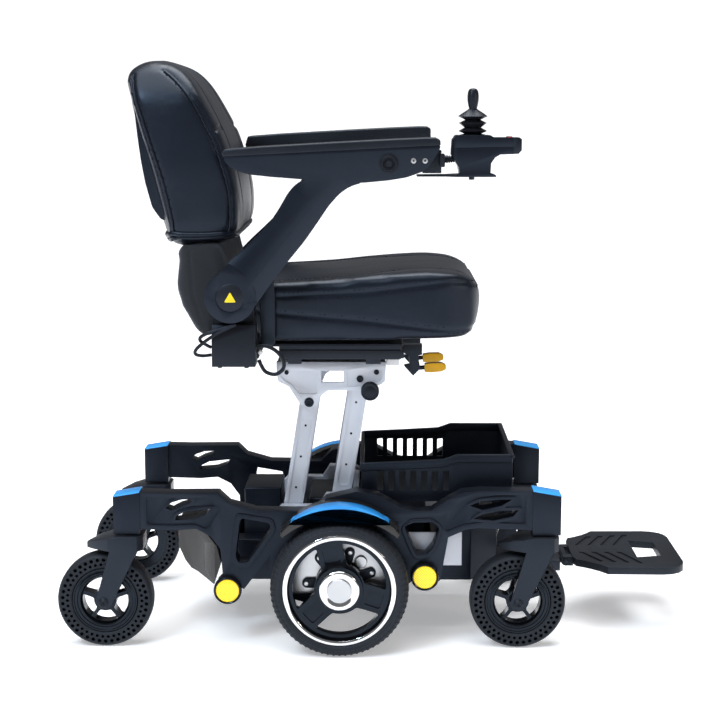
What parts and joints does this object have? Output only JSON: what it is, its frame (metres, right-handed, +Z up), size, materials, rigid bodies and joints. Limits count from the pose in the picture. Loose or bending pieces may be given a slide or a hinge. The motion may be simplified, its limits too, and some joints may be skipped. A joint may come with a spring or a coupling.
{
  "type": "power wheelchair",
  "caption": "Power wheelchair with a parallel-link seat lift, folding backrest, flip-up arms, joystick, basket, flip-up footplate and swivelling caster wheels.",
  "frame": {"origin": "on the floor under the middle of the chair, at the centre of its bounding box", "axes": "+X forwards, +Y to the user's left, +Z up"},
  "size_m": [1.188, 0.58, 1.086],
  "materials": {
    "moulded_black": "satin moulded plastic, fine grain",
    "fork_black": "satin powder coat",
    "dark_steel": "black powder coat",
    "aluminium": "bright satin, machined pockets",
    "cover_grey": "semi-gloss, faceted",
    "basket_black": "textured moulded plastic",
    "footplate_grey": "moulded, ribbed",
    "accent_blue": "gloss sky blue",
    "tyre": "solid rubber",
    "rim_black": "gloss black",
    "chrome": "polished",
    "lever_yellow": "amber grip",
    "reflector_yellow": "prismatic reflector",
    "arm_pad": "soft grained pad",
    "leather": "black grained upholstery leather, stitched",
    "back_fabric": "matt charcoal cloth",
    "soft_rubber": "soft black rubber"
  },
  "bodies": {
    "base": {"chassis_frame": "moulded_black", "lift_base": "aluminium", "battery_pack": "dark_steel", "lift_gearmotor": "moulded_black", "rear_cover": "cover_grey", "basket": "basket_black", "footplate_bracket": "fork_black", "side_frame_right": "moulded_black", "side_frame_left": "moulded_black", "fender_right": "accent_blue", "fender_left": "accent_blue", "motor_right": "dark_steel", "motor_left": "dark_steel", "reflector_rear_right": "reflector_yellow", "reflector_rear_left": "reflector_yellow", "reflector_front_right": "reflector_yellow", "reflector_front_left": "reflector_yellow"},
    "footplate": {"footplate": "footplate_grey"},
    "rear_link": {"lift_rear_link": "aluminium"},
    "front_link": {"lift_front_link": "aluminium"},
    "carriage": {"lift_carriage": "aluminium", "slide_rails": "dark_steel"},
    "lock_knob": {"lock_knob": "soft_rubber"},
    "seat": {"seat_frame": "dark_steel", "seat_cushion": "leather", "arm_mount_right": "dark_steel", "arm_mount_left": "dark_steel", "arm_cable": "soft_rubber", "seat_cable": "soft_rubber"},
    "backrest": {"backrest_cushion": "leather", "backrest_frame": "back_fabric"},
    "arm_right": {"arm_right": "moulded_black", "arm_pad_right": "arm_pad", "joystick_housing": "moulded_black", "joystick_boot": "soft_rubber"},
    "arm_left": {"arm_left": "moulded_black", "arm_pad_left": "arm_pad"},
    "joystick_gimbal": {"joystick_gimbal": "dark_steel"},
    "joystick_stick": {"joystick_stick": "soft_rubber"},
    "power_button": {"power_button": "soft_rubber"},
    "drive_wheel_right": {"drive_tyre_right": "tyre", "drive_rim_right": "rim_black", "hub_cap_right": "chrome"},
    "lever_right": {"release_lever_right": "lever_yellow"},
    "fork_rear_right": {"caster_fork_rear_right": "fork_black"},
    "caster_rear_right": {"caster_tyre_rear_right": "tyre", "caster_rim_rear_right": "rim_black"},
    "fork_front_right": {"caster_fork_front_right": "fork_black"},
    "caster_front_right": {"caster_tyre_front_right": "tyre", "caster_rim_front_right": "rim_black"},
    "drive_wheel_left": {"drive_tyre_left": "tyre", "drive_rim_left": "rim_black", "hub_cap_left": "chrome"},
    "lever_left": {"release_lever_left": "lever_yellow"},
    "fork_rear_left": {"caster_fork_rear_left": "fork_black"},
    "caster_rear_left": {"caster_tyre_rear_left": "tyre", "caster_rim_rear_left": "rim_black"},
    "fork_front_left": {"caster_fork_front_left": "fork_black"},
    "caster_front_left": {"caster_tyre_front_left": "tyre", "caster_rim_front_left": "rim_black"}
  },
  "joints": [
    {"name": "drive_spin_right", "type": "hinge", "parent": "base", "child": "drive_wheel_right", "pos_m": [-0.067, -0.262, 0.127], "axis": [0, 1, 0], "continuous": true},
    {"name": "caster_swivel_rear_right", "type": "hinge", "parent": "base", "child": "fork_rear_right", "pos_m": [-0.453, -0.205, 0.2], "axis": [0, 0, 1], "continuous": true},
    {"name": "caster_spin_rear_right", "type": "hinge", "parent": "fork_rear_right", "child": "caster_rear_right", "pos_m": [-0.505, -0.205, 0.089], "axis": [0, 1, 0], "continuous": true},
    {"name": "caster_swivel_front_right", "type": "hinge", "parent": "base", "child": "fork_front_right", "pos_m": [0.315, -0.205, 0.2], "axis": [0, 0, 1], "continuous": true},
    {"name": "caster_spin_front_right", "type": "hinge", "parent": "fork_front_right", "child": "caster_front_right", "pos_m": [0.263, -0.205, 0.089], "axis": [0, 1, 0], "continuous": true},
    {"name": "drive_spin_left", "type": "hinge", "parent": "base", "child": "drive_wheel_left", "pos_m": [-0.067, 0.262, 0.127], "axis": [0, 1, 0], "continuous": true},
    {"name": "caster_swivel_rear_left", "type": "hinge", "parent": "base", "child": "fork_rear_left", "pos_m": [-0.453, 0.205, 0.2], "axis": [0, 0, 1], "continuous": true},
    {"name": "caster_spin_rear_left", "type": "hinge", "parent": "fork_rear_left", "child": "caster_rear_left", "pos_m": [-0.505, 0.205, 0.089], "axis": [0, 1, 0], "continuous": true},
    {"name": "caster_swivel_front_left", "type": "hinge", "parent": "base", "child": "fork_front_left", "pos_m": [0.315, 0.205, 0.2], "axis": [0, 0, 1], "continuous": true},
    {"name": "caster_spin_front_left", "type": "hinge", "parent": "fork_front_left", "child": "caster_front_left", "pos_m": [0.263, 0.205, 0.089], "axis": [0, 1, 0], "continuous": true},
    {"name": "footplate_fold", "type": "hinge", "parent": "base", "child": "footplate", "pos_m": [0.372, 0, 0.115], "axis": [0, -1, 0], "range_deg": [0, 80]},
    {"name": "seat_lift", "type": "hinge", "parent": "base", "child": "rear_link", "pos_m": [-0.165, 0, 0.205], "axis": [0, -1, 0], "range_deg": [0, 70]},
    {"name": "seat_lift_front", "type": "hinge", "parent": "base", "child": "front_link", "pos_m": [-0.069, 0, 0.25], "axis": [0, -1, 0], "range_deg": [0, 70]},
    {"name": "seat_level", "type": "hinge", "parent": "rear_link", "child": "carriage", "pos_m": [-0.127, 0, 0.446], "axis": [0, -1, 0], "range_deg": [-70, 0]},
    {"name": "seat_slide", "type": "slide", "parent": "carriage", "child": "seat", "axis": [1, 0, 0], "range_m": [-0.03, 0.03]},
    {"name": "lock_knob_pull", "type": "slide", "parent": "carriage", "child": "lock_knob", "axis": [0, -1, 0], "range_m": [0, 0.01], "stiffness_N_per_m": 400},
    {"name": "lever_lift_right", "type": "hinge", "parent": "carriage", "child": "lever_right", "pos_m": [0.088, -0.06, 0.503], "axis": [0, -1, 0], "range_deg": [0, 20], "stiffness_Nm_per_rad": 0.5},
    {"name": "lever_lift_left", "type": "hinge", "parent": "carriage", "child": "lever_left", "pos_m": [0.088, 0.06, 0.503], "axis": [0, -1, 0], "range_deg": [0, 20], "stiffness_Nm_per_rad": 0.5},
    {"name": "backrest_fold", "type": "hinge", "parent": "seat", "child": "backrest", "pos_m": [-0.259, 0, 0.664], "axis": [0, 1, 0], "range_deg": [0, 45]},
    {"name": "arm_flip_right", "type": "hinge", "parent": "seat", "child": "arm_right", "pos_m": [-0.259, -0.25, 0.664], "axis": [0, -1, 0], "range_deg": [0, 80]},
    {"name": "arm_flip_left", "type": "hinge", "parent": "seat", "child": "arm_left", "pos_m": [-0.259, 0.25, 0.664], "axis": [0, -1, 0], "range_deg": [0, 80]},
    {"name": "joystick_sideways", "type": "hinge", "parent": "arm_right", "child": "joystick_gimbal", "pos_m": [0.168, -0.255, 0.93], "axis": [1, 0, 0], "range_deg": [-15, 15], "stiffness_Nm_per_rad": 0.5, "deforming": ["joystick_boot"]},
    {"name": "joystick_forward", "type": "hinge", "parent": "joystick_gimbal", "child": "joystick_stick", "pos_m": [0.168, -0.255, 0.93], "axis": [0, 1, 0], "range_deg": [-15, 15], "stiffness_Nm_per_rad": 0.5, "deforming": ["joystick_boot"]},
    {"name": "power_button_press", "type": "slide", "parent": "arm_right", "child": "power_button", "axis": [0, 0, -1], "range_m": [0, 0.0015], "stiffness_N_per_m": 400}
  ],
  "couplings": [
    {"joint": "seat_lift_front", "follows": "seat_lift", "ratio": 1},
    {"joint": "seat_level", "follows": "seat_lift", "ratio": -1}
  ]
}
